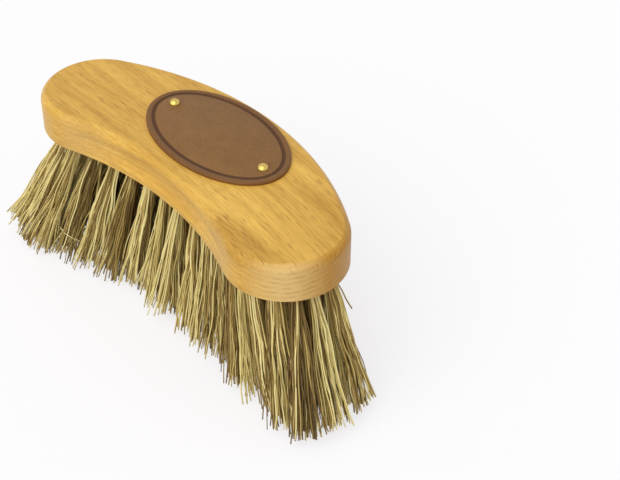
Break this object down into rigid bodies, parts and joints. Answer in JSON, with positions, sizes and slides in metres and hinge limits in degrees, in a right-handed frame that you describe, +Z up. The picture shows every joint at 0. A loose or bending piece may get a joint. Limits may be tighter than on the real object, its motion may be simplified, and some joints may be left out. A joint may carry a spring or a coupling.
{
  "type": "clothes brush",
  "caption": "Kidney-shaped beech-backed hand brush with stiff two-tone root-fibre tufts in curved rows, finger coves along its sides and a leather oval nailed to its top.",
  "frame": {"origin": "on the plane that the trimmed tips stand on, at the tip of the middle tuft of the middle row, under the middle of the back", "axes": "+X along the back, +Y towards its convex side, +Z up"},
  "size_m": [0.2364, 0.0965, 0.0911],
  "materials": {
    "beech": "oiled satin beech",
    "leather": "matte vegetable-tanned leather",
    "brass_nails": "polished",
    "fibre": "matte root fibre, pale straw mixed with dark brown",
    "anchor_wire": "flat drawn wire"
  },
  "bodies": {
    "root": {"beech_block": "beech", "leather_plaque": "leather", "plaque_nails": "brass_nails", "tuft_row_1": "fibre", "tuft_row_2": "fibre", "tuft_row_3": "fibre", "tuft_row_4": "fibre", "tuft_row_5": "fibre", "anchor_row_1": "anchor_wire", "anchor_row_2": "anchor_wire", "anchor_row_3": "anchor_wire", "anchor_row_4": "anchor_wire", "anchor_row_5": "anchor_wire"}
  },
  "joints": []
}
